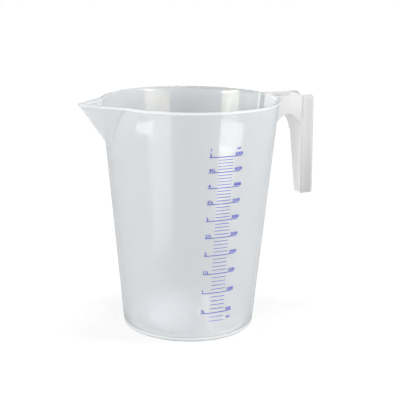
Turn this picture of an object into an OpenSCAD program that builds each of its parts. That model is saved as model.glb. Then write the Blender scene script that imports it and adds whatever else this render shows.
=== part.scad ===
// Five-litre measuring jug, moulded in one translucent piece, with a printed scale.
// The nodes are the regions of the moulding and the three kinds of printed line.
// The origin is the centre of the resting plane, with +Z up.
// The spout points to -X, the handle to +X and the scale faces -Y.

/* [Vessel] */
// Height from the resting plane to the rim
jug_h = 271.2; // [235:0.2:310]
// Outer diameter of the wall at the rim
rim_d = 207.2; // [190:0.2:225]
// Outer diameter of the wall, carried down to the resting plane
base_d = 156.4; // [130:0.2:172]
// Wall thickness at the rim
rim_wall = 2.2; // [1.4:0.1:3.2]
// Wall thickness at the resting plane
base_wall = 3; // [2:0.1:4.2]
// Height of the bead round the rim
bead_h = 3; // [2:0.1:6]
// How far the bead stands out from the wall
bead_out = 1.1; // [0.6:0.1:2.4]

/* [Floor] */
// Height of the floor's upper face at the wall
floor_z = 5.6; // [4.6:0.1:9]
// Thickness of the floor
floor_t = 3; // [2:0.1:3.8]
// Rise of the floor from its edge to its centre
crown_h = 7; // [2:0.1:12]
// Radius of the fillet between the floor and the wall
floor_fillet = 11; // [5:0.5:16]
// Width of the ring that the jug stands on
foot_w = 6; // [4:0.1:10]
// Rounding of the outer bottom edge
foot_round = 2.2; // [1:0.1:2.5]
// Diameter of the gate mark under the floor
gate_d = 7; // [4:0.5:14]
// Depth of the gate mark
gate_h = 0.6; // [0.3:0.1:1.2]

/* [Spout] */
// Distance from the jug's axis to the tip of the spout
spout_reach = 136.2; // [126:0.2:148]
// Depth of the keel's lower end below the rim
spout_depth = 52.4; // [40:0.2:70]
// Angle between the spout's axis and each corner of its mouth
spout_mouth_angle = 24; // [18:0.5:28]
// How far the rounding of the keel spreads to each side
keel_round = 5; // [2:0.2:9]
// Width of the soft blend where the spout leaves the wall
spout_blend = 2; // [1.5:0.1:5]

/* [Handle] */
// Drop of the handle's top below the rim
handle_drop = 0.5; // [0.3:0.1:6]
// Distance from the jug's axis to the grip's inner face, at the top
grip_in_top = 138.4; // [132:0.2:146]
// Distance from the jug's axis to the grip's inner face, at the bottom
grip_in_foot = 147.4; // [140:0.2:156]
// Depth of the grip from its inner face to its outer face
grip_deep = 18.4; // [14:0.2:26]
// Width of the handle at the top
grip_w_top = 38.8; // [32:0.2:50]
// Width of the grip at its lower end
grip_w_foot = 17.8; // [14:0.2:28]
// Length of the grip from the handle's top to its lower end
grip_len = 125.2; // [100:0.2:150]
// Wall thickness of the handle
handle_wall = 2.2; // [1.6:0.1:3]
// How far the arm's side walls stand back from the grip's
arm_inset = 0.5; // [0.2:0.1:0.9]
// Rounding of the grip's upright edges
grip_round = 3.6; // [2.4:0.1:6]
// Rounding of the grip's lower edge
grip_foot_round = 2; // [1:0.1:4]
// Rounding of the two side walls at the outer top corner
cheek_round = 6; // [3:0.5:12]
// Drop of the grip's outer wall below the handle's top
outer_wall_drop = 6.5; // [3:0.5:20]
// Drop of the arch under the arm below the handle's top
arch_drop = 22.4; // [16:0.2:36]
// Height of the arch from its springing to its crown
arch_h = 24; // [16:0.5:40]

/* [Scale] */
// Edge of the cube that holds one litre
litre_edge = 100; // [98:1:102]
// Litres at the top of the scale
full_litres = 5; // [3:1:5]
// Parts that each litre is divided into
parts_per_litre = 10; // [10:10:20]
// Parts below the lowest mark
unmarked_parts = 3; // [2:1:6]
// Direction of the scale round the jug, in degrees from the handle
scale_dir = -90.6; // [-120:0.2:-60]
// Length of the line at each litre and half litre
long_mark = 39; // [24:0.5:50]
// Length of the lines between
short_mark = 17.4; // [10:0.2:22]
// Height of the long lines
long_mark_h = 0.8; // [0.5:0.05:1.2]
// Height of the short lines
short_mark_h = 0.6; // [0.4:0.05:1]
// Thickness of the ink
ink_t = 0.15; // [0.1:0.01:0.3]

/* [Hidden] */
$fn = 96;
moulding_colour = "gainsboro";
ink_colour = "royalblue";
// Overrun of every cut
cut = 1;

// Lean of the outer and inner faces of the wall, as radius gained for height
out_slope = (rim_d - base_d) / 2 / jug_h;
in_slope = out_slope + (base_wall - rim_wall) / jug_h;
function out_r(z) = base_d / 2 + out_slope * z;
function in_r(z) = base_d / 2 - base_wall + in_slope * z;
// A parallel offset of a leaning face, measured level
function level(t, slope) = t * sqrt(1 + slope * slope);

// The floor stands on the foot ring and ends in a seam above its fillet
foot_h = floor_z - floor_t;
seam_z = floor_z + floor_fillet;
fillet_r = in_r(seam_z) - level(floor_fillet, in_slope);
foot_out_r = out_r(foot_round) - level(foot_round, out_slope);
foot_in_r = foot_out_r - foot_w;
// Where a rounding whose middle is at radius r and height z touches a leaning face
function touch(r, z, rounding, slope) =
    [r + rounding * cos(atan(slope)), z - rounding * sin(atan(slope))];

// The bead's section, as shares of its height and of how far it stands out
bead_shares = [[0, 0], [0.1, 0.7], [0.3, 1], [0.75, 1], [0.93, 0.8], [1, 0.45]];
bead_z = jug_h - bead_h;

// The spout is worked out in polar form round the jug's axis, from its own axis.
// Each side is a plane: keel_slope is the reach that it gains for height.
keel_z = jug_h - spout_depth;
keel_slope = (spout_reach - out_r(keel_z)) / spout_depth;
function keel_r(z) = out_r(keel_z) + keel_slope * (z - keel_z);
corner = out_r(jug_h) * [cos(spout_mouth_angle), sin(spout_mouth_angle)];
side_angle = atan2(spout_reach - corner[0], corner[1] - keel_round);
// Level distance from the axis to a side, drawn in by a thickness measured square to it
side_slope = keel_slope * cos(side_angle);
function side_dist(z, inset) =
    keel_r(z) * cos(side_angle) + keel_round * sin(side_angle) - level(inset, side_slope);
// The keel's rounding is smaller inside, so that the skin is as thick there
function bend(inset) =
    max(keel_round - level(inset, side_slope) * tan(side_angle / 2), keel_round / 10);
// Distance to the rounded pair of sides at angle a: a hyperbola in polar form
function v_dist(a, z, inset) =
    let (
        p = side_dist(z, inset),
        e = bend(inset) * sin(side_angle),
        b = p * cos(a) * cos(side_angle),
        q = cos(a + side_angle) * cos(a - side_angle),
        c = p * p - e * e
    ) c / (b + sqrt(max(0, b * b - q * c)));
// The larger of two distances, with a soft blend where they are nearly equal
function soft_max(a, b) =
    let (h = max(spout_blend - abs(a - b), 0) / spout_blend)
    max(a, b) + h * h * spout_blend / 4;
function spout_out_r(a, z) = soft_max(v_dist(a, z, 0), out_r(z));
function spout_in_r(a, z) =
    soft_max(v_dist(a, z, out_r(z) - in_r(z)), in_r(z));
// The spout's panel reaches past its mouth and below its keel, until the blend has died out
panel_margin = 9;
panel_angle = spout_mouth_angle + panel_margin;
panel_z = keel_z - spout_blend / (keel_slope - out_slope);
panel_rows = 22;
// Rows are level. Columns crowd towards the keel and the seam, where a side meets the wall,
// so that they follow the seam up from the keel's lower end to the corner of the mouth.
side_cols = 12;
wall_cols = 10;
half_cols = side_cols + wall_cols;
panel_cols = 2 * half_cols;
crowd_share = 1.5;
keel_spread = 3;
function ease(t) = t * t * (3 - 2 * t);
function seam_angle(z) =
    let (a = side_angle - acos(min(1, side_dist(z, 0) / out_r(z))))
    min(max(a, keel_spread), spout_mouth_angle);
function column(i, z) =
    let (
        k = abs(i - half_cols),
        a = seam_angle(z),
        past = pow(max(0, k - side_cols) / wall_cols, crowd_share)
    ) sign(i - half_cols) * (a * ease(min(1, k / side_cols)) + (panel_angle - a) * past);

// The handle's faces lean alike, so each is a line in height
handle_z = jug_h - handle_drop;
grip_foot_z = handle_z - grip_len;
function between(top, foot, z) = foot + (top - foot) * (z - grip_foot_z) / grip_len;
function grip_in(z) = between(grip_in_top, grip_in_foot, z);
function grip_out(z) = grip_in(z) + grip_deep;
function grip_half(z) = between(grip_w_top, grip_w_foot, z) / 2;
cheek_slope = (grip_w_top - grip_w_foot) / 2 / grip_len;
cheek_wall = level(handle_wall, cheek_slope);

// The arch under the arm: one half springs from the wall, the other from the grip
arch_z = handle_z - arch_drop;
spring_z = arch_z - arch_h;
arch_mid_r = (out_r(spring_z) + grip_in(spring_z)) / 2;
wall_full_share = 1.5;
grip_full_share = 1.9;
arch_steps = 14;
// Height of the arch at distance x from its middle, out to its half width w
function arch(x, w, h, full) = spring_z + h * pow(max(0, 1 - pow(x / w, full)), 1 / full);

// The scale: the fillet and the crown take up some of the space in the jug
corner_angle = 90 + atan(in_slope);
fillet_area = floor_fillet * floor_fillet
    * (1 / tan(corner_angle / 2) - (180 - corner_angle) * PI / 360);
fillet_volume = fillet_area * 2 * PI * in_r(floor_z);
crown_volume = PI * crown_h * (3 * fillet_r * fillet_r + crown_h * crown_h) / 6;
// Height of the liquid for a number of litres, from the volume of a cone's frustum
function litre_z(l) =
    let (
        space = l * pow(litre_edge, 3) + fillet_volume + crown_volume,
        r = pow(pow(in_r(floor_z), 3) + 3 * in_slope * space / PI, 1 / 3)
    ) floor_z + (r - in_r(floor_z)) / in_slope;
// Marks that would run into the rim bead are left out
marks = [
    for (i = [unmarked_parts:full_litres * parts_per_litre])
        if (litre_z(i / parts_per_litre) < bead_z - long_mark_h) i
];
half_parts = parts_per_litre / 2;

// A solid of revolution from the floor's centre, cut to the given band of heights
module band(z0, z1) {
    rotate_extrude()
        intersection() {
            translate([0, z0]) square([rim_d, z1 - z0]);
            children();
        }
}

// A circle through the edge of a dome and its crown, which both faces of the floor use
module dome(edge_r, edge_z) {
    ball_r = (edge_r * edge_r + crown_h * crown_h) / 2 / crown_h;
    translate([0, edge_z + crown_h - ball_r]) circle(ball_r, $fn = 360);
}

// The outer face of the wall, filled to the axis, with its rounded bottom edge
module outside() {
    polygon([
        [0, 0], [foot_out_r, 0], touch(foot_out_r, foot_round, foot_round, out_slope),
        [out_r(jug_h), jug_h], [0, jug_h]
    ]);
    translate([foot_out_r, foot_round]) circle(foot_round);
}

// The space inside the wall and above the floor
module inside() {
    top_z = jug_h + cut;
    difference() {
        union() {
            polygon([
                [0, floor_z], [fillet_r, floor_z],
                touch(fillet_r, seam_z, floor_fillet, in_slope),
                [in_r(top_z), top_z], [0, top_z]
            ]);
            translate([fillet_r, seam_z]) circle(floor_fillet);
        }
        dome(fillet_r, floor_z);
    }
}

// The hollow under the floor, inside the foot ring
module underside() {
    translate([0, -cut]) square([foot_in_r, foot_h + cut]);
    dome(foot_in_r, foot_h);
}

// Everything on the spout's side of the two radial planes that bound its panel
module spout_sector(z0) {
    far = 2 * spout_reach;
    translate([0, 0, z0])
        linear_extrude(jug_h - z0 + cut)
            polygon([
                [0, 0],
                [-far * cos(panel_angle), far * sin(panel_angle)],
                [-far, 0],
                [-far * cos(panel_angle), -far * sin(panel_angle)]
            ]);
}

module vessel_wall() {
    color(moulding_colour)
        difference() {
            translate([0, 0, seam_z])
                cylinder(h = jug_h - seam_z, r1 = out_r(seam_z), r2 = out_r(jug_h));
            translate([0, 0, seam_z - cut])
                cylinder(
                    h = jug_h - seam_z + 2 * cut,
                    r1 = in_r(seam_z - cut),
                    r2 = in_r(jug_h + cut)
                );
            spout_sector(panel_z);
        }
}

module vessel_floor() {
    color(moulding_colour) {
        band(foot_h, seam_z)
            difference() {
                outside();
                inside();
                underside();
            }
        // The gate mark hangs under the middle of the dome
        translate([0, 0, foot_h + crown_h - gate_h])
            cylinder(h = gate_h + floor_t / 2, d = gate_d);
    }
}

module foot_ring() {
    color(moulding_colour)
        band(0, foot_h)
            difference() {
                outside();
                translate([0, -cut]) square([foot_in_r, foot_h + 2 * cut]);
            }
}

// The bead's section against the wall, as points of radius and height
function bead_points() = concat(
    [for (s = bead_shares) [out_r(bead_z + s[0] * bead_h) + s[1] * bead_out, bead_z + s[0] * bead_h]],
    [[out_r(jug_h), jug_h]]
);

module rim_bead() {
    color(moulding_colour)
        rotate([0, 0, panel_angle - 180])
            rotate_extrude(angle = 360 - 2 * panel_angle)
                polygon(bead_points());
}

// The spout's panel is one skin: an outer and an inner face on the same columns and rows,
// with the rim bead carried on round the lip
module spout() {
    body_rows = [for (j = [0:panel_rows]) [panel_z + (bead_z - panel_z) * j / panel_rows, 0]];
    lip_rows = [
        for (i = [1:len(bead_shares) - 1])
            [bead_z + bead_shares[i][0] * bead_h, bead_shares[i][1] * bead_out]
    ];
    rows = concat(body_rows, lip_rows);
    n = panel_cols + 1;
    last = len(rows) - 1;
    function place(a, r, z) = [-r * cos(a), -r * sin(a), z];
    outer = [
        for (row = rows, i = [0:panel_cols])
            let (a = column(i, row[0]))
                place(a, spout_out_r(a, row[0]) + row[1], row[0])
    ];
    inner = [
        for (row = rows, i = [0:panel_cols])
            let (a = column(i, row[0])) place(a, spout_in_r(a, row[0]), row[0])
    ];
    base = len(outer);
    function cell(p, q, r, s) = [[p, q, r], [p, r, s]];
    outer_faces = [
        for (j = [0:last - 1], i = [0:panel_cols - 1])
            each cell(j * n + i, (j + 1) * n + i, (j + 1) * n + i + 1, j * n + i + 1)
    ];
    inner_faces = [for (f = outer_faces) [base + f[0], base + f[2], base + f[1]]];
    // Level faces at the foot and at the lip join the two skins, and so do the two sides
    foot_faces = [for (i = [0:panel_cols - 1]) each cell(i, i + 1, base + i + 1, base + i)];
    lip_faces = [
        for (i = [0:panel_cols - 1])
            each cell(last * n + i, base + last * n + i, base + last * n + i + 1, last * n + i + 1)
    ];
    side_faces = [
        for (j = [0:last - 1])
            each concat(
                cell(j * n, base + j * n, base + (j + 1) * n, (j + 1) * n),
                cell(
                    j * n + panel_cols, (j + 1) * n + panel_cols,
                    base + (j + 1) * n + panel_cols, base + j * n + panel_cols
                )
            )
    ];
    color(moulding_colour)
        polyhedron(
            points = concat(outer, inner),
            faces = concat(outer_faces, inner_faces, foot_faces, lip_faces, side_faces)
        );
}

// A level rounded rectangle of the grip at height z, drawn in by an inset
function grip_ring(z, inset) =
    let (
        side = level(inset, cheek_slope),
        r = max(grip_round - inset, grip_round / 4),
        steps = 6,
        x0 = grip_in(z) + inset + r,
        x1 = grip_out(z) - inset - r,
        y = grip_half(z) - side - r,
        corners = [[x1, y, 0], [x0, y, 90], [x0, -y, 180], [x1, -y, 270]]
    ) [
        for (c = corners, i = [0:steps])
            let (a = c[2] + 90 * i / steps) [c[0] + r * cos(a), c[1] + r * sin(a), z]
    ];

// A solid through a stack of level rings that have as many points each
module loft(rings) {
    n = len(rings[0]);
    top = len(rings) - 1;
    sides = [
        for (j = [0:top - 1], i = [0:n - 1])
            let (k = (i + 1) % n)
            each [
                [j * n + i, (j + 1) * n + i, (j + 1) * n + k],
                [j * n + i, (j + 1) * n + k, j * n + k]
            ]
    ];
    polyhedron(
        points = [for (ring = rings, p = ring) p],
        faces = concat([[for (i = [0:n - 1]) i]], sides, [[for (i = [n - 1:-1:0]) top * n + i]])
    );
}

// The grip's outer form, a little higher than the handle so that the side profile trims it
module grip_form() {
    steps = 3;
    foot_rings = [
        for (i = [0:steps])
            let (
                a = 90 * i / steps,
                z = grip_foot_z + grip_foot_round * (1 - cos(a))
            )
            grip_ring(z, grip_foot_round * (1 - sin(a)))
    ];
    loft(concat(foot_rings, [grip_ring(handle_z + cut, 0)]));
}

// The grip's hollow, open at the top
module grip_hollow() {
    loft([
        grip_ring(grip_foot_z + handle_wall, handle_wall),
        grip_ring(handle_z + 2 * cut, handle_wall)
    ]);
}

// A side profile of radius and height, drawn through the whole width of the handle
module across() {
    rotate([90, 0, 0])
        linear_extrude(2 * grip_w_top, center = true)
            children();
}

// The handle's height, with the two side walls rounded at the outer top corner
module side_profile() {
    z = handle_z - cheek_round;
    r = grip_out(z) - cheek_round;
    polygon([
        [0, 0], [2 * spout_reach, 0], [2 * spout_reach, z],
        [r, z], [r, handle_z], [0, handle_z]
    ]);
    translate([r, z]) circle(cheek_round);
}

module handle_grip() {
    notch_w = grip_half(handle_z) - cheek_wall;
    notch_r = grip_out(handle_z) - 2 * handle_wall;
    color(moulding_colour)
        difference() {
            intersection() {
                grip_form();
                across() side_profile();
            }
            grip_hollow();
            // The outer wall stops short of the side walls
            translate([notch_r, -notch_w, handle_z - outer_wall_drop])
                cube([3 * handle_wall, 2 * notch_w, outer_wall_drop + cut]);
        }
}

// Half of the arch, from its middle outwards, as points of radius and height
function half_arch(dir, w, h, full) = [
    for (i = [0:arch_steps])
        let (x = w * sin(90 * i / arch_steps)) [arch_mid_r + dir * x, arch(x, w, h, full)]
];
// The whole arch, from the wall to the grip, drawn out by a thickness
function arch_line(t) =
    let (
        wall_side = half_arch(-1, arch_mid_r - out_r(spring_z) + t, arch_h + t, wall_full_share),
        grip_side = half_arch(1, grip_in(spring_z) - arch_mid_r + t, arch_h + t, grip_full_share),
        n = arch_steps
    ) concat([for (i = [n:-1:1]) wall_side[i]], grip_side);

// A slice along the handle: as wide as the handle at each height, drawn in by a thickness
module along(t) {
    low = grip_half(grip_foot_z) - t;
    high = grip_half(jug_h) - t;
    rotate([90, 0, 90])
        linear_extrude(2 * spout_reach)
            polygon([
                [-low, grip_foot_z], [low, grip_foot_z], [high, jug_h], [-high, jug_h]
            ]);
}

module handle_arm() {
    end_r = grip_in(spring_z) + grip_round;
    color(moulding_colour)
        difference() {
            intersection() {
                across()
                    polygon(concat(
                        arch_line(0),
                        [[end_r, spring_z], [end_r, handle_z], [0, handle_z], [0, spring_z]]
                    ));
                along(arm_inset);
            }
            // The channel between the side walls, open at the top
            intersection() {
                across()
                    polygon(concat(
                        arch_line(handle_wall),
                        [[end_r, spring_z], [end_r, jug_h], [0, jug_h], [0, spring_z]]
                    ));
                along(cheek_wall);
            }
            grip_form();
            // The arm stands on the outer face of the wall and round the rim bead
            cylinder(h = jug_h, r1 = out_r(0), r2 = out_r(jug_h));
            rotate_extrude()
                polygon(concat([[0, bead_z]], bead_points(), [[0, jug_h]]));
        }
}

// A printed line: a strip of ink on the wall, at a number of parts of a litre
module mark(i, len, h) {
    z = litre_z(i / parts_per_litre);
    z0 = z - h / 2;
    z1 = z + h / 2;
    turn = len / out_r(z) * 180 / PI;
    rotate([0, 0, scale_dir - turn / 2])
        rotate_extrude(angle = turn)
            polygon([
                [out_r(z0), z0], [out_r(z0) + ink_t, z0],
                [out_r(z1) + ink_t, z1], [out_r(z1), z1]
            ]);
}

module litre_marks() {
    color(ink_colour)
        for (i = marks)
            if (i % parts_per_litre == 0)
                mark(i, long_mark, long_mark_h);
}

module half_litre_marks() {
    color(ink_colour)
        for (i = marks)
            if (i % parts_per_litre == half_parts)
                mark(i, long_mark, long_mark_h);
}

module part_litre_marks() {
    color(ink_colour)
        for (i = marks)
            if (i % half_parts != 0)
                mark(i, short_mark, short_mark_h);
}

vessel_wall();
vessel_floor();
foot_ring();
rim_bead();
spout();
handle_arm();
handle_grip();
litre_marks();
half_litre_marks();
part_litre_marks();
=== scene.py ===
"""Looks of a five-litre measuring jug: one translucent moulding and a printed blue scale.
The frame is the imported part's: +Z up, handle to +X, spout to -X, scale to -Y. The jug's sizes are in
millimetres, and what Blender gets is in metres. The camera, the floor and the lamps are in metres."""

import bpy
import bmesh
import math
import numpy as np
from mathutils import Matrix, Vector


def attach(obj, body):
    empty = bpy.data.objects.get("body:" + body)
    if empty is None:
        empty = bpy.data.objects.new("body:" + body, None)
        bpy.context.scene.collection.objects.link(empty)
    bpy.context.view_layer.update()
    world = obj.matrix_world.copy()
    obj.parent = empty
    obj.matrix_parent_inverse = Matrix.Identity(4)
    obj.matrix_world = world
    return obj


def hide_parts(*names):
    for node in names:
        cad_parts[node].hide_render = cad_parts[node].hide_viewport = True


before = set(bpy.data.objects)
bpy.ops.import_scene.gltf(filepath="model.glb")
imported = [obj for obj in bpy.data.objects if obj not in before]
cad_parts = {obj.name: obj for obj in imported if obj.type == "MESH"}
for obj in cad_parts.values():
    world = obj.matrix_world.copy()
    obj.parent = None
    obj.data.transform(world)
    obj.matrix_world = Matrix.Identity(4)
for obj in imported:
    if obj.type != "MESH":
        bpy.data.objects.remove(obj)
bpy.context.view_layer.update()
MM = 0.001
WELD, WELD_PRINT = 2e-6, 1e-6    # distances at which points are joined, in metres

# The part's own sizes, in millimetres and degrees
JUG_H, RIM_D, BASE_D, RIM_WALL, BASE_WALL = 271.2, 207.2, 156.4, 2.2, 3.0
BEAD_H, BEAD_OUT = 3.0, 1.1
FLOOR_Z, FLOOR_T, CROWN_H, FILLET, FOOT_W, FOOT_ROUND = 5.6, 3.0, 7.0, 11.0, 6.0, 2.2
GATE_D, GATE_H = 7.0, 0.6
REACH, SPOUT_DEPTH, MOUTH, KEEL_ROUND, BLEND = 136.2, 52.4, 24.0, 5.0, 2.0
HANDLE_DROP, GRIP_TOP, GRIP_FOOT, GRIP_DEEP = 0.5, 138.4, 147.4, 18.4
GRIP_W_TOP, GRIP_W_FOOT, GRIP_LEN, HANDLE_WALL, ARM_INSET = 38.8, 17.8, 125.2, 2.2, 0.5
GRIP_ROUND, GRIP_FOOT_ROUND, CHEEK_ROUND, WALL_DROP = 3.6, 2.0, 6.0, 6.5
ARCH_DROP, ARCH_H, ARCH_FULL_WALL, ARCH_FULL_GRIP = 22.4, 24.0, 1.5, 1.9
LITRE, SCALE_DIR, LONG, SHORT, LONG_H, SHORT_H, INK = 1e6, -90.6, 39.0, 17.4, 0.8, 0.6, 0.12

# Small edges that only show close up
GATE_EASE_OUT, GATE_EASE_UP = 0.3, 0.2
UNDER_ROUND, FOOT_BEVEL, LIP_ROUND, LIP_FLAT = 0.8, 0.5, 0.6, 0.9
LIP_END, FOOT_CLEAR, RING_GAP = 1.6, 0.2, 1.0
# the bead's outline: shares of its height, and its width there
BEAD_UP = (0.06, 0.15, 0.3, 0.5, 0.72, 0.85, 0.95, 1)
BEAD_WIDE = (0.5, 0.82, 1, 1, 0.98, 0.9, 0.7, 0.4)

PANEL_MORE = 9    # degrees past the spout's corner over which the wall is still blended

OUT_SLOPE = (RIM_D - BASE_D) / 2 / JUG_H
IN_SLOPE = OUT_SLOPE + (BASE_WALL - RIM_WALL) / JUG_H


def out_r(z):
    return BASE_D / 2 + OUT_SLOPE * z


def in_r(z):
    return BASE_D / 2 - BASE_WALL + IN_SLOPE * z


def level(t, slope):
    """Horizontal thickness of a wall that is t thick and leans by slope."""
    return t * math.sqrt(1 + slope * slope)


FOOT_H = FLOOR_Z - FLOOR_T
SEAM_Z = FLOOR_Z + FILLET
FILLET_R = in_r(SEAM_Z) - level(FILLET, IN_SLOPE)
FOOT_OUT = out_r(FOOT_ROUND) - level(FOOT_ROUND, OUT_SLOPE)
FOOT_IN = FOOT_OUT - FOOT_W

KEEL_Z = JUG_H - SPOUT_DEPTH
KEEL_SLOPE = (REACH - out_r(KEEL_Z)) / SPOUT_DEPTH
CORNER_X = out_r(JUG_H) * math.cos(math.radians(MOUTH))
CORNER_Y = out_r(JUG_H) * math.sin(math.radians(MOUTH))
SIDE = math.atan2(REACH - CORNER_X, CORNER_Y - KEEL_ROUND)
SIDE_SLOPE = KEEL_SLOPE * math.cos(SIDE)
PANEL = math.radians(MOUTH + PANEL_MORE)
SPOUT_LOW = KEEL_Z - BLEND / (KEEL_SLOPE - OUT_SLOPE)


def side_dist(z):
    """Distance from the axis to the plane of a spout side."""
    return (out_r(KEEL_Z) + KEEL_SLOPE * (z - KEEL_Z)) * math.cos(SIDE) + KEEL_ROUND * math.sin(SIDE)


def v_dist(a, z, inset):
    """Distance from the axis to the rounded pair of spout sides, at angle a from the spout's axis."""
    drawn = inset * math.sqrt(1 + SIDE_SLOPE ** 2)
    p = side_dist(z) - drawn
    e = np.maximum(KEEL_ROUND - drawn * math.tan(SIDE / 2), KEEL_ROUND / 10) * math.sin(SIDE)
    b = p * np.cos(a) * math.cos(SIDE)
    q = np.cos(a + SIDE) * np.cos(a - SIDE)
    c = p * p - e * e
    return c / (b + np.sqrt(np.maximum(0, b * b - q * c)))


def soft_max(a, b):
    """The larger of two distances, with the corner between them blended."""
    h = np.maximum(BLEND - np.abs(a - b), 0) / BLEND
    return np.maximum(a, b) + h * h * BLEND / 4


def wall_r(angle, z, inner):
    """Radius of the wall's outer or inner face, spout included. angle is from +X, in radians."""
    a = np.where(angle > 0, angle - math.pi, angle + math.pi)
    base = in_r(z) if inner else out_r(z)
    inset = (out_r(z) - in_r(z)) if inner else 0.0
    near = np.abs(a) < PANEL
    v = v_dist(np.where(near, a, 0), z, inset)
    return np.where(near, soft_max(v, base), base)


# Mesh helpers
def new_object(name, verts, faces):
    mesh = bpy.data.meshes.new(name)
    mesh.from_pydata([tuple(float(c) * MM for c in v) for v in verts], [], faces)
    mesh.validate()
    o = bpy.data.objects.new(name, mesh)
    bpy.context.scene.collection.objects.link(o)
    return o


def outward(o):
    bm = bmesh.new()
    bm.from_mesh(o.data)
    bmesh.ops.recalc_face_normals(bm, faces=bm.faces)
    bm.to_mesh(o.data)
    bm.free()


def loft(name, rings):
    """A closed solid through rings that have as many points each."""
    n, top = len(rings[0]), len(rings) - 1
    verts = [p for ring in rings for p in ring]
    faces = [
        (j * n + i, j * n + (i + 1) % n, (j + 1) * n + (i + 1) % n, (j + 1) * n + i)
        for j in range(top)
        for i in range(n)
    ]
    faces += [tuple(range(n - 1, -1, -1)), tuple(top * n + i for i in range(n))]
    o = new_object(name, verts, faces)
    outward(o)
    return o


def combine(a, b, operation):
    """Boolean of a with b; b goes."""
    m = a.modifiers.new("b", "BOOLEAN")
    m.operation, m.object, m.solver = operation, b, "EXACT"
    graph = bpy.context.evaluated_depsgraph_get()
    mesh = bpy.data.meshes.new_from_object(a.evaluated_get(graph))
    a.modifiers.clear()
    old = a.data
    a.data = mesh
    bpy.data.meshes.remove(old)
    bpy.data.objects.remove(b)
    return a


def smooth(o, angle):
    """Smooth shading, with edges sharper than the angle kept crisp."""
    bm = bmesh.new()
    bm.from_mesh(o.data)
    bmesh.ops.remove_doubles(bm, verts=bm.verts, dist=WELD)
    limit = math.radians(angle)
    for f in bm.faces:
        f.smooth = True
    for e in bm.edges:
        e.smooth = len(e.link_faces) == 2 and e.calc_face_angle(0) < limit
    bm.to_mesh(o.data)
    bm.free()


def bends(first, last, steps):
    """Angles in radians, from first to last degrees."""
    return [math.radians(t) for t in np.linspace(first, last, steps + 1)]


# The vessel: rings of (radius, height), where a radius is one number or one for each column
KEEL_COLUMNS, PANEL_COLUMNS, WALL_COLUMNS = 24, 18, 105
SEAM_LEAST = math.radians(3)
CROWDING = 1.6


def columns(z):
    """Angles of the columns, crowded along the seam where a side of the spout meets the wall."""
    seam = SIDE - math.acos(min(1, side_dist(z) / out_r(z)))
    seam = min(max(seam, SEAM_LEAST), math.radians(MOUTH))
    near = np.linspace(0, 1, KEEL_COLUMNS + 1)
    far = np.linspace(0, 1, PANEL_COLUMNS + 1)[1:]
    half = np.concatenate([seam * near * near * (3 - 2 * near), seam + (PANEL - seam) * far ** CROWDING])
    half = np.concatenate([half, np.linspace(PANEL, math.pi, WALL_COLUMNS + 1)[1:]])
    turned = np.concatenate([-half[::-1], half[1:-1]]) + math.pi
    return np.where(turned > math.pi, turned - 2 * math.pi, turned)


def wall_ring(z, inner, out):
    """A ring of the wall's inner or outer face, moved out by out."""
    return wall_r(columns(z), z, inner) + out, z


def dome_z(r, edge_r, edge_z):
    """Height of a dome that rises by CROWN_H from its edge."""
    ball = (edge_r ** 2 + CROWN_H ** 2) / 2 / CROWN_H
    return edge_z + CROWN_H - ball + math.sqrt(ball ** 2 - r ** 2)


GATE_R = GATE_D / 2
GATE_Z = FOOT_H + CROWN_H - GATE_H


def under_rings():
    """From the gate mark out to the foot ring's rounded edge."""
    rings = [(GATE_R / 2, GATE_Z), (GATE_R - GATE_EASE_OUT, GATE_Z), (GATE_R, GATE_Z + GATE_EASE_UP)]
    rings.append((GATE_R, dome_z(GATE_R, FOOT_IN, FOOT_H)))
    across = np.linspace(GATE_R + 3 * RING_GAP, FOOT_IN - RING_GAP, 12)
    rings += [(r, dome_z(r, FOOT_IN, FOOT_H)) for r in across]
    for a in bends(0, 90, 3):
        rings.append((FOOT_IN - UNDER_ROUND * (1 - math.sin(a)), FOOT_H - UNDER_ROUND * (1 - math.cos(a))))
    rings += [(FOOT_IN, FOOT_BEVEL), (FOOT_IN + FOOT_BEVEL, 0), (FOOT_OUT, 0)]
    for a in bends(15, 75, 4):
        rings.append((FOOT_OUT + FOOT_ROUND * math.sin(a), FOOT_ROUND * (1 - math.cos(a))))
    return rings


def outer_rings():
    """Up the outer face, over the rim's bead and the lip."""
    plain = np.linspace(FOOT_ROUND + FOOT_CLEAR, SPOUT_LOW, 26)
    spouted = np.linspace(SPOUT_LOW, JUG_H - BEAD_H, 40)[1:]
    rings = [wall_ring(z, False, 0) for z in np.concatenate([plain, spouted])]
    for up, wide in zip(BEAD_UP, BEAD_WIDE):
        rings.append(wall_ring(JUG_H - BEAD_H + up * BEAD_H, False, wide * BEAD_OUT))
    rings.append(wall_ring(JUG_H, True, LIP_FLAT))
    for a in bends(0, 90, 3):
        rings.append(wall_ring(JUG_H - LIP_ROUND * (1 - math.cos(a)), True, LIP_ROUND * (1 - math.sin(a))))
    return rings


def inner_rings():
    """Down the inner face, round the fillet and over the domed floor."""
    spouted = np.linspace(JUG_H - LIP_END, SPOUT_LOW, 40)
    plain = np.linspace(SPOUT_LOW, SEAM_Z, 24)[1:]
    rings = [wall_ring(z, True, 0) for z in np.concatenate([spouted, plain])]
    rings += [(FILLET_R + FILLET * math.cos(a), SEAM_Z - FILLET * math.sin(a)) for a in bends(10, 90, 8)]
    rings += [(r, dome_z(r, FILLET_R, FLOOR_Z)) for r in np.linspace(FILLET_R - RING_GAP, 2 * RING_GAP, 16)]
    return rings


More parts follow.
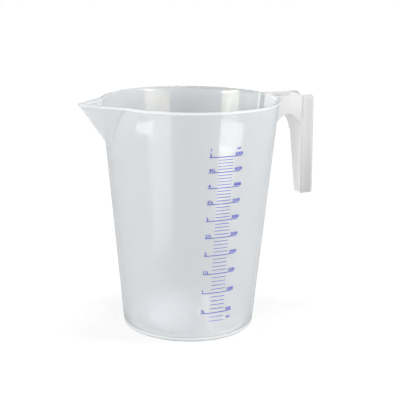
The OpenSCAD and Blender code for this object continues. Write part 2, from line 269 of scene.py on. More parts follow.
def vessel():
    """The vessel as one skin, from the middle of its underside over the rim to the middle of its floor."""
    n = len(columns(0))
    verts = [(0, 0, GATE_Z)]
    rings = under_rings() + outer_rings() + inner_rings()
    for r, z in rings:
        verts += [(p * math.cos(a), p * math.sin(a), z) for p, a in zip(np.broadcast_to(r, n), columns(z))]
    verts.append((0, 0, FLOOR_Z + CROWN_H))
    last = len(verts) - 1
    faces = []
    for i in range(n):
        k = (i + 1) % n
        faces.append((0, 1 + k, 1 + i))
        faces.append((last, last - n + i, last - n + k))
        for j in range(len(rings) - 1):
            b = 1 + j * n
            faces.append((b + i, b + k, b + n + k, b + n + i))
    o = new_object("jug_moulding", verts, faces)
    outward(o)
    return o


# The handle
HANDLE_Z = JUG_H - HANDLE_DROP
GRIP_FOOT_Z = HANDLE_Z - GRIP_LEN
ARCH_Z = HANDLE_Z - ARCH_DROP
SPRING_Z = ARCH_Z - ARCH_H
LEAN = (GRIP_FOOT - GRIP_TOP) / GRIP_LEN
TAPER = (GRIP_W_TOP - GRIP_W_FOOT) / 2 / GRIP_LEN
CHEEK = level(HANDLE_WALL, TAPER)
ROOT_DEEP = 8.0    # how far inside the wall the arm is drawn before it is cut off
ROOT_BITE = 1.0    # how far into the wall's thickness the arm's end stays clear of its inner face
CORE_Z = 150.0     # foot of the cone that cuts the arm off
OVER = 1.0         # how far a cutting solid reaches past what it cuts


def between(top, foot, z):
    """A size of the grip at a height, from those at its top and its foot."""
    return foot + (top - foot) * (z - GRIP_FOOT_Z) / GRIP_LEN


def grip_in(z):
    return between(GRIP_TOP, GRIP_FOOT, z)


def grip_half(z):
    return between(GRIP_W_TOP, GRIP_W_FOOT, z) / 2


def grip_ring(z, inset):
    """The grip's rounded outline at a height, drawn in by inset."""
    r = max(GRIP_ROUND - inset, GRIP_ROUND / 4)
    x0, x1 = grip_in(z) + inset + r, grip_in(z) + GRIP_DEEP - inset - r
    y = grip_half(z) - level(inset, TAPER) - r
    ring = []
    for cx, cy, start in ((x1, y, 0), (x0, y, 90), (x0, -y, 180), (x1, -y, 270)):
        ring += [(cx + r * math.cos(a), cy + r * math.sin(a), z) for a in bends(start, start + 90, 8)]
    return ring


def grip_form(name):
    rings = []
    for a in bends(0, 90, 5):
        z = GRIP_FOOT_Z + GRIP_FOOT_ROUND * (1 - math.cos(a))
        rings.append(grip_ring(z, GRIP_FOOT_ROUND * (1 - math.sin(a))))
    straight = np.linspace(GRIP_FOOT_Z + 4 * GRIP_FOOT_ROUND, HANDLE_Z + OVER, 12)
    return loft(name, rings + [grip_ring(z, 0) for z in straight])


def prism(name, profile, half_y):
    """A solid between two side views: profile is [(x, z)], half_y gives y at a height."""
    right = [(x, half_y(z), z) for x, z in profile]
    left = [(x, -half_y(z), z) for x, z in profile]
    return loft(name, [left, right])


def arch_points(t):
    """The arch under the arm as [(x, z)], from the wall to the grip, widened by t."""
    mid = (out_r(SPRING_Z) + grip_in(SPRING_Z)) / 2
    to_wall = (-1, mid - out_r(SPRING_Z) + t, ARCH_FULL_WALL)
    to_grip = (1, grip_in(SPRING_Z) - mid + t, ARCH_FULL_GRIP)
    line = []
    for sign, w, full in (to_wall, to_grip):
        part = []
        for a in bends(0, 90, 24):
            x = w * math.sin(a)
            rise = (ARCH_H + t) * max(0, 1 - (x / w) ** full) ** (1 / full)
            part.append((mid + sign * x, SPRING_Z + rise))
        line = part[:0:-1] if sign < 0 else line + part
    return line


def grip_trim():
    """What the grip keeps, seen from the side: all but its square top outer corner."""
    low = HANDLE_Z - CHEEK_ROUND
    x = grip_in(low) + GRIP_DEEP - CHEEK_ROUND
    corner = [(x + CHEEK_ROUND * math.sin(a), low + CHEEK_ROUND * math.cos(a)) for a in bends(90, 0, 10)]
    outline = [(0, 0), (2 * REACH, 0), (2 * REACH, low)] + corner + [(0, HANDLE_Z)]
    return prism("trim", outline, lambda z: GRIP_W_TOP)


def grip_hollow():
    heights = np.linspace(GRIP_FOOT_Z + HANDLE_WALL, HANDLE_Z + 2 * OVER, 10)
    return loft("hollow", [grip_ring(z, HANDLE_WALL) for z in heights])


def back_notch():
    """What the grip's back wall lacks between the cheeks."""
    half = grip_half(HANDLE_Z) - CHEEK
    x0 = grip_in(HANDLE_Z) + GRIP_DEEP - 2 * HANDLE_WALL
    x1 = x0 + 12 * OVER
    low, top = HANDLE_Z - WALL_DROP, HANDLE_Z + OVER
    return prism("notch", [(x0, low), (x1, low), (x1, top), (x0, top)], lambda z: half)


def wall_core():
    """The cone inside which the arm is cut off, so that it ends in the wall's thickness."""
    rings = []
    for z in (CORE_Z, JUG_H + 2 * OVER):
        r = in_r(z) + ROOT_BITE
        rings.append([(r * math.cos(a), r * math.sin(a), z) for a in bends(0, 359, 359)])
    return loft("core", rings)


def handle():
    """The arm and the grip as one solid: the arm's channel and the grip's hollow are open on top."""
    end = grip_in(SPRING_Z) + GRIP_ROUND
    near = in_r(SPRING_Z) - ROOT_DEEP
    top = JUG_H + 2 * OVER
    block = [(end, SPRING_Z), (end, HANDLE_Z), (near, HANDLE_Z), (near, SPRING_Z)]
    arm = prism("arm", arch_points(0) + block, lambda z: grip_half(z) - ARM_INSET)
    room = [(end, SPRING_Z), (end, top), (near - OVER, top), (near - OVER, SPRING_Z)]
    channel = prism("channel", arch_points(HANDLE_WALL) + room, lambda z: grip_half(z) - CHEEK)
    combine(channel, grip_form("cutter"), "DIFFERENCE")
    grip = combine(grip_form("grip"), grip_trim(), "INTERSECT")
    combine(arm, grip, "UNION")
    for cutter in (channel, grip_hollow(), back_notch(), wall_core()):
        combine(arm, cutter, "DIFFERENCE")
    return arm


# The printed scale
SUNK = 0.05              # how far the print starts inside the wall
LINE_STEP = 1.5          # length of one straight stretch of a line
DIGIT_SHARE = 0.73       # height of a digit as a share of the font's size
FONT_DEEP, FONT_BOLD = 0.05, 0.02


def litre_z(litres):
    """Height at which the inside holds a volume: the cone's less the fillet's and the crown's."""
    corner = math.pi / 2 + math.atan(IN_SLOPE)
    fillet = FILLET ** 2 * (1 / math.tan(corner / 2) - (math.pi - corner) / 2) * 2 * math.pi * in_r(FLOOR_Z)
    crown = math.pi * CROWN_H * (3 * FILLET_R ** 2 + CROWN_H ** 2) / 6
    space = litres * LITRE + fillet + crown
    r = (in_r(FLOOR_Z) ** 3 + 3 * IN_SLOPE * space / math.pi) ** (1 / 3)
    return FLOOR_Z + (r - in_r(FLOOR_Z)) / IN_SLOPE


def on_wall(arc, z, lift):
    """A point of the wall, arc millimetres to the right of the scale's middle line."""
    r = out_r(z)
    a = math.radians(SCALE_DIR) + arc / r
    return ((r + lift) * math.cos(a), (r + lift) * math.sin(a), z)


def lines(name, parts, length, height):
    """One line at each of the parts, which are tenths of a litre."""
    verts, faces = [], []
    cols = int(length / LINE_STEP)
    for part in parts:
        z = litre_z(part / 10)
        base = len(verts)
        for i in range(cols + 1):
            arc = length * (i / cols - 0.5)
            for lift, dz in ((-SUNK, -1), (INK, -1), (INK, 1), (-SUNK, 1)):
                verts.append(on_wall(arc, z + dz * height / 2, lift))
        for i in range(cols):
            b = base + 4 * i
            for k in range(4):
                faces.append((b + k, b + (k + 1) % 4, b + 4 + (k + 1) % 4, b + 4 + k))
        faces.append((base + 3, base + 2, base + 1, base))
        faces.append(tuple(base + 4 * cols + k for k in range(4)))
    o = new_object(name, verts, faces)
    outward(o)
    return o


def lettering(name, items):
    """Text laid round the wall. items: (text, arc of its left edge, middle height, digit height)."""
    whole = bmesh.new()
    for text, arc, z_mid, tall in items:
        curve = bpy.data.curves.new("t", "FONT")
        curve.body = text
        curve.size = 1
        curve.extrude = FONT_DEEP
        curve.offset = FONT_BOLD
        curve.resolution_u = 3
        holder = bpy.data.objects.new("t", curve)
        bpy.context.scene.collection.objects.link(holder)
        bpy.context.view_layer.update()
        mesh = bpy.data.meshes.new_from_object(holder.evaluated_get(bpy.context.evaluated_depsgraph_get()))
        bpy.data.objects.remove(holder)
        co = np.array([v.co[:] for v in mesh.vertices])
        k = tall / DIGIT_SHARE
        x0 = co[:, 0].min()
        for v, c in zip(mesh.vertices, co):
            z = z_mid + (c[1] - DIGIT_SHARE / 2) * k
            p = on_wall(arc + (c[0] - x0) * k, z, INK if c[2] > 0 else -SUNK)
            v.co = [q * MM for q in p]
        whole.from_mesh(mesh)
        bpy.data.meshes.remove(mesh)
    bmesh.ops.remove_doubles(whole, verts=whole.verts, dist=WELD_PRINT)
    bmesh.ops.recalc_face_normals(whole, faces=whole.faces)
    data = bpy.data.meshes.new(name)
    whole.to_mesh(data)
    whole.free()
    o = bpy.data.objects.new(name, data)
    bpy.context.scene.collection.objects.link(o)
    return o


# Material helpers
class Field:
    """A number that varies over a surface. Sums, products and powers of fields are nodes of the material."""

    def __init__(self, tree, socket):
        self.tree = tree
        self.socket = socket

    def drive(self, socket):
        self.tree.links.new(self.socket, socket)

    def apply(self, operation, other=0.0):
        node = self.tree.nodes.new("ShaderNodeMath")
        node.operation = operation
        self.drive(node.inputs[0])
        if isinstance(other, Field):
            other.drive(node.inputs[1])
        else:
            node.inputs[1].default_value = other
        return Field(self.tree, node.outputs[0])

    def __add__(self, other):
        return self.apply("ADD", other)

    def __sub__(self, other):
        return self.apply("SUBTRACT", other)

    def __mul__(self, other):
        return self.apply("MULTIPLY", other)

    def __pow__(self, other):
        return self.apply("POWER", other)

    def ramp(self, low, high, to_low, to_high):
        """Straight from to_low at low to to_high at high, and level beyond."""
        node = self.tree.nodes.new("ShaderNodeMapRange")
        for slot, value in (("From Min", low), ("From Max", high), ("To Min", to_low), ("To Max", to_high)):
            node.inputs[slot].default_value = value
        self.drive(node.inputs["Value"])
        return Field(self.tree, node.outputs["Result"])

    def rises(self, low, high):
        return self.ramp(low, high, 0, 1)

    def falls(self, low, high):
        return self.ramp(low, high, 1, 0)


def material(name):
    m = bpy.data.materials.new(name)
    m.use_nodes = True
    m.node_tree.nodes.clear()
    return m, m.node_tree


def shader(tree, kind, colour):
    """A shader node that takes its colour from another node."""
    node = tree.nodes.new("ShaderNodeBsdf" + kind)
    tree.links.new(colour.outputs[0], node.inputs["Color"])
    return node


def colour_of(tree, fields):
    node = tree.nodes.new("ShaderNodeCombineColor")
    for field, slot in zip(fields, node.inputs):
        field.drive(slot)
    return node


def mix(tree, share, first, second):
    """The first shader with a share of the second."""
    node = tree.nodes.new("ShaderNodeMixShader")
    if isinstance(share, Field):
        share.drive(node.inputs["Fac"])
    else:
        node.inputs["Fac"].default_value = share
    tree.links.new(first.outputs[0], node.inputs[1])
    tree.links.new(second.outputs[0], node.inputs[2])
    return node


def noise(tree, coords, scale, detail):
    node = tree.nodes.new("ShaderNodeTexNoise")
    node.inputs["Scale"].default_value = scale
    node.inputs["Detail"].default_value = detail
    tree.links.new(coords, node.inputs["Vector"])
    return Field(tree, node.outputs["Fac"])


def seen_directly(tree):
    """1 for the rays that look at the background, in gloss and through plastic too, and 0 for its light."""
    path = tree.nodes.new("ShaderNodeLightPath")
    kinds = ("Is Camera Ray", "Is Transmission Ray", "Is Glossy Ray")
    camera_ray, through, glossy = (Field(tree, path.outputs[kind]) for kind in kinds)
    return camera_ray.apply("MAXIMUM", through).apply("MAXIMUM", glossy)


# The moulding's plastic: how white it is, how much passes a face straight through, how much it mirrors
WHITE, WHITE_ARM = 0.68, 0.82
CLEAR, CLEAR_THICK, CLEAR_HANDLE = 0.54, 0.25, 0.42
SHINE, SHINE_GRAZING, SHINE_POWER = 0.04, 0.14, 5
TINT, TINT_GRAZING, TINT_POWER, TINT_BLUE = 0.93, 0.12, 12, 1.01
BACKLIT = 0.15                    # share of the scattered light that comes through from behind
CAST = (0.985, 1.012, 1.03)       # colour cast of the plastic outside the handle
ROUGH_LEAST, ROUGH_MOST = 0.03, 0.07

# Edges of the zones below, in millimetres: a zone fades in or out between the two numbers of a pair
RIM_FOOT, RIM_END, RIM_FRONT, RIM_RIGHT = (JUG_H - 3.4, JUG_H - 2.6), (106, 108), (-40, 30), (20, 80)
FOOT_TOP, SOLE_TOP = (4.0, 5.4), (1.3, 1.9)
FLOOR_TOP, FLOOR_EDGE = (13.5, 15.0), (73.2, 74.8)
HANDLE_NEAR, HANDLE_SIDE = (104.5, 105.5), (0, 10)
ARM_BACK, FACE_FRONT, INSIDE_DEEP = (0.34, 1.14), (-1.26, -0.66), (-15.86, -7.86)
CHEEK_IN, ARM_FOOT, FACE_FOOT = (grip_half(0) - 1.9, grip_half(0) - 1.3), (238, 260), (165, 205)
FAR_CHEEK, FAR_CHEEK_FOOT = (14.0, 14.5), (236, 242)
STEP_FRONT, STEP_BACK, STEP_FOOT = (0.54, 0.74), (2.14, 2.44), (240, 246)
SIDES_BACK, SIDES_FOOT = (1.64, 10.14), (150, 220)
ROOT_FOOT, ROOT_SIDE, ROOT_RIM = (226, 230), (90, 92), (JUG_H - 3.8, JUG_H - 2.8)
# Across the arm's root, in y: painted light from LIGHT_FROM to LIGHT_TO, painted shade on to DARK_TO, a
# painted highlight from EDGE_FROM to EDGE_TO
LIGHT_FROM, LIGHT_TO, DARK_TO = (-34, -28), (4.5, 5.5), (13, 14)
EDGE_FROM, EDGE_TO = (14.5, 15.0), (18.0, 18.5)
ROOT_RIM_LIGHT = 0.45             # what the root's light zone keeps at the rim
SEAM_IN, SEAM_OUT, SEAM_PROUD = (-3.0, -2.0), (0.1, 0.9), (0.6, 2.2)
SEAM_SIDE, SEAM_FOOT, SEAM_FAR = (-70, -68), (228, 233), (-2, 2)

# What each zone adds to the plastic: whiteness, clearness, shine. Many zones paint light or shade, as noted
# at each.
TONES = {
    "rim": (0.03, 0, 0),
    # painted light on the rim's front, painted shade on the rim towards the handle
    "rim_front_painted_light": (0.10, 0, 0),
    "rim_right_painted_shade": (-0.12, 0, 0),
    "foot": (0.17, 0, 0),
    # painted contact shadow along the foot's lowest edge
    "sole_painted_shadow": (-0.40, 0, 0),
    # floor whiter: partly its thicker plastic, partly painted light from above
    "floor": (0.09, 0, 0),
    "handle": (0, CLEAR_HANDLE - CLEAR, 0),
    # painted shade on the lower part of the arm's outer cheeks
    "arm_low_painted_shade": (-0.14, 0, 0),
    # painted light on the arm's inner faces, more of it deeper in, where the jug shades them
    "arm_inside_painted_light": (0.05, 0, 0),
    "arm_inside_deep": (0.13, 0, 0),
    "face": (0, -0.05, 0.08),
    # painted light on the lower part of the grip's face
    "face_low_painted_light": (0.10, 0, 0),
    # far cheek made clearer, as painted light in the grip's shaded hollow
    "far_cheek_painted_light": (0, 0.20, 0),
    # painted shade line along the step between the arm's cheek and the grip
    "step_painted_shade": (-0.16, 0, 0),
    "sides": (-0.02, 0, 0),
    # painted shade low on the grip's sides and back, painted light near their front
    "sides_low_painted_shade": (-0.11, 0, 0),
    "sides_front_painted_light": (0.10, 0, 0),
    # painted light and highlight on the wall at the arm's root, painted shade beside the far cheek
    "root_painted_light": (0.26, -0.20, 0.20),
    "root_painted_shade": (-0.22, -0.20, 0),
    # painted shade along the spout's seams, and a painted highlight along the far seam
    "seams": (-0.08, 0, 0),
    "far_seam_painted_highlight": (0.18, 0.30, 0),
}


def vessel_zones(x, y, z, radius):
    """The rim's bead, the foot and the floor, where the plastic is thick, and the seams of the spout.
    Painted light on the rim's front and the floor, painted shade on the rim towards the handle, at the sole
    and along the seams, and a painted highlight along the far seam.
    """
    rim = z.rises(*RIM_FOOT) * x.falls(*RIM_END)
    # distance out past the plane of a spout side, and past the wall's plain cone
    past = y.apply("ABSOLUTE") * math.sin(SIDE) - x * math.cos(SIDE) - z * SIDE_SLOPE - side_dist(0)
    proud = radius - z * OUT_SLOPE - out_r(0)
    seams = past.rises(*SEAM_IN) * past.falls(*SEAM_OUT) * proud.falls(*SEAM_PROUD)
    seams = seams * x.falls(*SEAM_SIDE) * z.rises(*SEAM_FOOT)
    return {
        "rim": rim,
        "rim_front_painted_light": rim * y.falls(*RIM_FRONT),
        "rim_right_painted_shade": rim * x.rises(*RIM_RIGHT),
        "foot": z.falls(*FOOT_TOP),
        "sole_painted_shadow": z.falls(*SOLE_TOP),
        "floor": z.falls(*FLOOR_TOP) * radius.falls(*FLOOR_EDGE),
        "seams": seams,
        "far_seam_painted_highlight": seams * y.rises(*SEAM_FAR),
    }


def handle_zones(x, y, z, radius):
    """The arm with the grip's face behind it, which look whiter, and the grip's sides and back. Painted
    shade low on the arm's cheeks, along the step and low on the sides; painted light on the arm's inner
    faces, low on the face, at the sides' front and, through more clearness, on the far cheek.
    """
    zone = radius.rises(*HANDLE_NEAR) * x.rises(*HANDLE_SIDE)
    # distance behind the grip's leaning face
    depth = x + z * LEAN - grip_in(0)
    arm = zone * depth.falls(*ARM_BACK)
    sides = zone - arm
    face = arm * depth.rises(*FACE_FRONT)
    outside = arm * (y.apply("ABSOLUTE") - z * TAPER).rises(*CHEEK_IN)
    inside = arm - outside
    return {
        "handle": zone,
        "arm": arm,
        "arm_low_painted_shade": outside * z.falls(*ARM_FOOT),
        "arm_inside_painted_light": inside,
        "arm_inside_deep": inside * depth.rises(*INSIDE_DEEP),
        "face": face,
        "face_low_painted_light": face * z.falls(*FACE_FOOT),
        "far_cheek_painted_light": zone * y.rises(*FAR_CHEEK) * z.rises(*FAR_CHEEK_FOOT),
        "step_painted_shade": zone * depth.rises(*STEP_FRONT) * depth.falls(*STEP_BACK) * z.rises(*STEP_FOOT),
        "sides": sides,
        "sides_low_painted_shade": sides * z.falls(*SIDES_FOOT),
        "sides_front_painted_light": sides * depth.falls(*SIDES_BACK),
    }


def root_zones(x, y, z, radius):
    """The wall where the arm stands on it: painted light between the cheeks, painted shade along the far
    one, and a painted highlight where the far one stands on the wall.
    """
    root = radius.falls(*HANDLE_NEAR) * z.rises(*ROOT_FOOT) * x.rises(*ROOT_SIDE)
    middle = y.rises(*LIGHT_FROM) * y.falls(*LIGHT_TO)
    edge = y.rises(*EDGE_FROM) * y.falls(*EDGE_TO)
    return {
        "root_painted_light": root * (middle + edge) * z.ramp(*ROOT_RIM, 1, ROOT_RIM_LIGHT),
        "root_painted_shade": root * y.rises(*LIGHT_TO) * y.falls(*DARK_TO),
    }


def toned(field, zones, column):
    """A field with what each zone adds to it."""
    for name, amounts in TONES.items():
        if amounts[column]:
            field = field + zones[name] * amounts[column]
    return field


def moulding_material():
    m, tree = material("moulding")
    coords = tree.nodes.new("ShaderNodeTexCoord").outputs["Object"]
    scaled = tree.nodes.new("ShaderNodeVectorMath")
    scaled.operation = "SCALE"
    scaled.inputs["Scale"].default_value = 1 / MM
    tree.links.new(coords, scaled.inputs[0])
    split = tree.nodes.new("ShaderNodeSeparateXYZ")
    tree.links.new(scaled.outputs["Vector"], split.inputs[0])
    x, y, z = (Field(tree, axis) for axis in split.outputs)
    radius = (x * x + y * y) ** 0.5
    zones = {}
    for make in (vessel_zones, handle_zones, root_zones):
        zones.update(make(x, y, z, radius))

    facing = tree.nodes.new("ShaderNodeLayerWeight")
    facing.inputs["Blend"].default_value = 0.5
    graze = Field(tree, facing.outputs["Facing"])
    thick = zones["rim"].apply("MAXIMUM", zones["foot"]).apply("MAXIMUM", zones["floor"])
    # whiteness and clearness carry the zones' painted light and painted shade
    white = toned(zones["arm"].ramp(0, 1, WHITE, WHITE_ARM), zones, 0)
    clearness = toned(thick.ramp(0, 1, CLEAR, CLEAR_THICK), zones, 1)
    shine = toned((graze ** SHINE_POWER).ramp(0, 1, SHINE, SHINE_GRAZING), zones, 2)
    # light that grazes the wall has a longer way through it
    tint = (graze ** TINT_POWER).ramp(0, 1, TINT, TINT_GRAZING)

    clear = shader(tree, "Transparent", colour_of(tree, (tint, tint, tint * TINT_BLUE)))
    milk = colour_of(tree, [white * zones["handle"].ramp(0, 1, cast, 1) for cast in CAST])
    milky = mix(tree, BACKLIT, shader(tree, "Diffuse", milk), shader(tree, "Translucent", milk))
    gloss = tree.nodes.new("ShaderNodeBsdfGlossy")
    noise(tree, coords, 28, 2).ramp(0, 1, ROUGH_LEAST, ROUGH_MOST).drive(gloss.inputs["Roughness"])
    skin = mix(tree, shine, mix(tree, clearness, milky, clear), gloss)
    out = tree.nodes.new("ShaderNodeOutputMaterial")
    tree.links.new(skin.outputs["Shader"], out.inputs["Surface"])
    return m


def ink_material():
    m, tree = material("ink")
    body = tree.nodes.new("ShaderNodeBsdfPrincipled")
    coords = tree.nodes.new("ShaderNodeTexCoord").outputs["Object"]
    tint = tree.nodes.new("ShaderNodeMix")
    tint.data_type = "RGBA"
    tint.inputs["A"].default_value = (0.014, 0.024, 0.33, 1)
    tint.inputs["B"].default_value = (0.024, 0.040, 0.40, 1)
    noise(tree, coords, 700, 2).drive(tint.inputs["Factor"])
    tree.links.new(tint.outputs["Result"], body.inputs["Base Color"])
    body.inputs["Roughness"].default_value = 0.5
    body.inputs["Specular IOR Level"].default_value = 0.25
    out = tree.nodes.new("ShaderNodeOutputMaterial")
    tree.links.new(body.outputs["BSDF"], out.inputs["Surface"])
    return m


# The jug
PLASTIC = moulding_material()
PRINT = ink_material()
CRISP = 32    # degrees above which an edge stays sharp

jug = combine(vessel(), handle(), "UNION")
smooth(jug, CRISP)
jug.data.materials.clear()
jug.data.materials.append(PLASTIC)
for node in ("vessel_wall", "vessel_floor", "foot_ring", "rim_bead", "spout", "handle_arm", "handle_grip"):
    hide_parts(node)
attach(jug, "root")

FIRST, LAST = 3, 50    # the lowest and the highest mark, in tenths of a litre
tenths = range(FIRST, LAST + 1)
kinds = {
    "litre_marks": ([p for p in tenths if p % 10 == 0], LONG, LONG_H),
    "half_litre_marks": ([p for p in tenths if p % 10 == 5], LONG, LONG_H),
    "part_litre_marks": ([p for p in tenths if p % 5], SHORT, SHORT_H),
}
for node, (parts, length, height) in kinds.items():
    piece = lines(node.replace("marks", "lines"), parts, length, height)
    piece.data.materials.append(PRINT)
    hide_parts(node)
    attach(piece, "root")

# The numbers stand on the long lines: arcs of their left edges, and heights of their digits
LITRES_AT, LITRES_TALL = -19.0, 3.9
MILLILITRES_AT, MILLILITRES_TALL = 11.3, 3.7
LOWEST_AT, LOWEST_TALL = 12.6, 2.6
LITRE_UNIT_AT, MILLILITRE_UNIT_AT, UNIT_TALL = -18.4, 13.4, 3.2
NUMBER_UP, LOWEST_UP, UNIT_UP = 2.9, 2.6, 9.0

left = []
right = []
for half_litres in range(1, 11):
    z = litre_z(half_litres / 2) + NUMBER_UP
    whole_part, odd = divmod(half_litres, 2)
    text = (str(whole_part) if whole_part else "") + ("½" if odd else "")
    left.append((text, LITRES_AT, z, LITRES_TALL))
    right.append((str(500 * half_litres), MILLILITRES_AT, z, MILLILITRES_TALL))
right.append((str(100 * FIRST), LOWEST_AT, litre_z(FIRST / 10) + LOWEST_UP, LOWEST_TALL))
unit_z = litre_z(LAST / 10) + UNIT_UP
left.append(("L", LITRE_UNIT_AT, unit_z, UNIT_TALL))
right.append(("ml", MILLILITRE_UNIT_AT, unit_z, UNIT_TALL))
for name, items in (("litre_numbers", left), ("millilitre_numbers", right)):
    piece = lettering(name, items)
    piece.data.materials.append(PRINT)
    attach(piece, "root")

# The camera, at the photo's angle, in metres
TURN, PITCH, YAW, ROLL = math.radians(24.3), math.radians(14.53), math.radians(0.645), math.radians(0.79)
DIST, HIGH, FOCAL_PX, IMAGE_PX, SENSOR = 1.130, 0.442, 978.0, 400, 36
look = Vector((math.sin(YAW) * math.cos(PITCH), math.cos(YAW) * math.cos(PITCH), -math.sin(PITCH)))
side = look.cross(Vector((0, 0, 1))).normalized()
up = side.cross(look)
right_dir = math.cos(ROLL) * side + math.sin(ROLL) * up
up_dir = -math.sin(ROLL) * side + math.cos(ROLL) * up
turn = Matrix.Rotation(-TURN, 3, "Z")
eye = turn @ Vector((0, -DIST, HIGH))
axes = [turn @ v for v in (right_dir, up_dir, -look)]
camera_data = bpy.data.cameras.new("camera")
camera_data.sensor_fit = "HORIZONTAL"
camera_data.sensor_width = SENSOR
camera_data.lens = FOCAL_PX * SENSOR / IMAGE_PX
camera = bpy.data.objects.new("camera", camera_data)
camera.matrix_world = Matrix([[axes[c][r] for c in range(3)] + [eye[r]] for r in range(3)] + [[0, 0, 0, 1]])
bpy.context.scene.collection.objects.link(camera)
bpy.context.scene.camera = camera

# The floor and the world, which look white and light the jug little
LAMPLIT = 0.31    # what the lamps add to the floor close to the jug
FLOOR_GREY = 0.34
FLOOR_HALF, FLOOR_SINK = 6, 0.0002
SKY = 0.09


def stage_material():
    m, tree = material("floor")
    diffuse = tree.nodes.new("ShaderNodeBsdfDiffuse")
    diffuse.inputs["Color"].default_value = (FLOOR_GREY, FLOOR_GREY, FLOOR_GREY, 1)
    coords = tree.nodes.new("ShaderNodeTexCoord")
    reach = tree.nodes.new("ShaderNodeVectorMath")
    reach.operation = "LENGTH"
    tree.links.new(coords.outputs["Object"], reach.inputs[0])
    spread = Field(tree, reach.outputs["Value"]) ** 2 + 1
    white = spread ** -1 * -LAMPLIT + 1
    glow = tree.nodes.new("ShaderNodeEmission")
    (seen_directly(tree) * white).drive(glow.inputs["Strength"])
    both = tree.nodes.new("ShaderNodeAddShader")
    tree.links.new(diffuse.outputs["BSDF"], both.inputs[0])
    tree.links.new(glow.outputs["Emission"], both.inputs[1])
    out = tree.nodes.new("ShaderNodeOutputMaterial")
    tree.links.new(both.outputs[0], out.inputs["Surface"])
    return m


corners = [(i * FLOOR_HALF, j * FLOOR_HALF, -FLOOR_SINK) for i, j in ((-1, -1), (1, -1), (1, 1), (-1, 1))]
floor_mesh = bpy.data.meshes.new("floor")
floor_mesh.from_pydata(corners, [], [(0, 1, 2, 3)])
floor = bpy.data.objects.new("floor", floor_mesh)
bpy.context.scene.collection.objects.link(floor)
floor.data.materials.append(stage_material())

world = bpy.data.worlds.new("world")
bpy.context.scene.world = world
world.use_nodes = True
sky_tree = world.node_tree
sky_tree.nodes.clear()
sky_light = sky_tree.nodes.new("ShaderNodeBackground")
sky_light.inputs["Color"].default_value = (0.98, 0.99, 1, 1)
sky_light.inputs["Strength"].default_value = SKY
sky_seen = sky_tree.nodes.new("ShaderNodeBackground")
sky_seen.inputs["Color"].default_value = (1, 1, 1, 1)
sky_seen.inputs["Strength"].default_value = 1.0
sky = mix(sky_tree, seen_directly(sky_tree), sky_light, sky_seen)
sky_out = sky_tree.nodes.new("ShaderNodeOutputWorld")
sky_tree.links.new(sky.outputs[0], sky_out.inputs["Surface"])


# The lamps, in metres and watts
def softbox(name, place, aim, size, watts, colour=(1, 1, 1)):
    data = bpy.data.lights.new(name, "AREA")
    data.shape = "RECTANGLE"
    data.size, data.size_y = size
    data.energy = watts
    data.color = colour
    o = bpy.data.objects.new(name, data)
    o.location = place
    o.rotation_euler = (Vector(aim) - Vector(place)).to_track_quat("-Z", "Y").to_euler()
    bpy.context.scene.collection.objects.link(o)
    return o


def from_camera(x, y, z):
    """A place given as metres right of the jug, towards the camera (negative y) and up."""
    return turn @ Vector((x, y, z))


MIDDLE = (0, 0, 0.15)
for name, place, size, watts in (
    ("fill", (1.4, -1.2, 0.35), (0.9, 0.6), 2.5),
    ("front", (-0.3, -1.8, 0.3), (0.9, 0.5), 29.8),
    ("left", (-1.7, 0.0, 0.5), (0.9, 0.9), 19.8),
    ("right", (1.7, 0.0, 0.5), (0.9, 0.9), 30.5),
    ("top", (0, 0.05, 1.6), (0.4, 0.4), 10.8),
):
    softbox(name, from_camera(*place), MIDDLE, size, watts).visible_glossy = False
# two gridded softboxes: one lights the jug's floor through the mouth, one the wall where the arm stands
well = softbox("well", (0, 0, 1.5), (0, 0, 0), (0.1, 0.1), 0.065)
well.data.spread = math.radians(9)
well.visible_glossy = False
arm_light = softbox("root", from_camera(-0.9, -0.25, 0.95), (0.13, -0.012, 0.255), (0.03, 0.03), 0.0065)
arm_light.data.spread = math.radians(4.5)
arm_light.visible_glossy = False


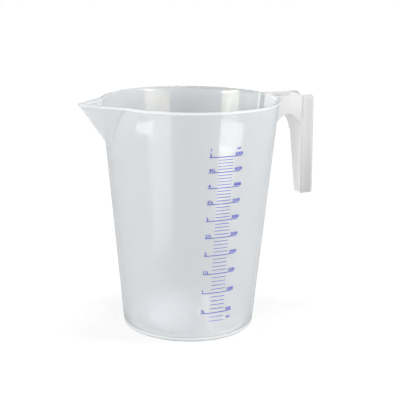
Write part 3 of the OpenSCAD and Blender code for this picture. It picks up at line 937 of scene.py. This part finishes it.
def curved(name, radius, bearings, away, lows, high, tilt, spread, watts, colour):
    """A curved, gridded softbox that shows only as a reflection in the vessel.
    radius: the wall's radius where the reflection is seen, negative for the far inner wall.
    bearings: where on the wall its edges are seen, in degrees to the right of the camera's side.
    away: how far from the wall it stands. lows: height of its lower edge at either end. high: its upper
    edge's. tilt: degrees that it is aimed downwards. spread: degrees that its grid lets out."""
    steps = 5
    edges = []
    for k in range(steps + 1):
        a = math.radians(bearings[0] + (bearings[1] - bearings[0]) * k / steps)
        face = Vector((math.sin(a), -math.cos(a), 0))
        at = radius * face
        sight = (Vector((0, -DIST, 0)) - at).normalized()
        out = 2 * face.dot(sight) * face - sight
        edges.append((at + away * out, out))
    tall = [high - lows[0] - (lows[1] - lows[0]) * (k + 0.5) / steps for k in range(steps)]
    for k in range(steps):
        (p, out_p), (q, out_q) = edges[k], edges[k + 1]
        mid = (p + q) / 2 + Vector((0, 0, high - tall[k] / 2))
        out = (out_p + out_q) / 2
        aim = mid - away * out - Vector((0, 0, away * math.tan(math.radians(tilt))))
        part = watts * tall[k] / sum(tall)
        o = softbox(name + "_%d" % k, turn @ mid, turn @ aim, ((q - p).length, tall[k]), part, colour)
        o.data.spread = math.radians(spread)
        o.visible_camera = False
        o.visible_diffuse = False


WARM, GREENISH, WHITISH, PURE = (1, 0.97, 0.70), (0.99, 1, 0.73), (1, 1, 0.97), (1, 1, 1)
curved("bar_left", -0.098, (15.1, 34.4), 0.36, (0.004, 0.004), 0.2793, 9, 56, 0.31, WARM)
curved("bar_right", -0.098, (-36.5, -23), 0.36, (0.004, 0.004), 0.2793, 9, 56, 0.30, GREENISH)
curved("glint_left", 0.1, (-36, -24.2), 0.25, (0.161, 0.150), 0.171, -18, 24, 0.0004, PURE)
curved("glint_right", 0.1, (18.9, 35.5), 0.25, (0.1325, 0.1325), 0.172, -18, 24, 0.0015, PURE)
curved("glint_wide", 0.096, (-26.4, -11.4), 0.25, (0.004, 0.004), 0.172, -18, 40, 0.0055, WHITISH)
curved("glint_low", 0.098, (18.9, 25.3), 0.25, (0.006, 0.0686), 0.1325, -18, 24, 0.0019, PURE)
curved("glint_side", 0.098, (25.3, 30.4), 0.25, (0.0686, 0.0686), 0.1325, -18, 24, 0.00075, PURE)

bpy.context.scene.view_settings.view_transform = "Standard"


def plain(box):
    return [[float(c) for c in corner] for corner in box]
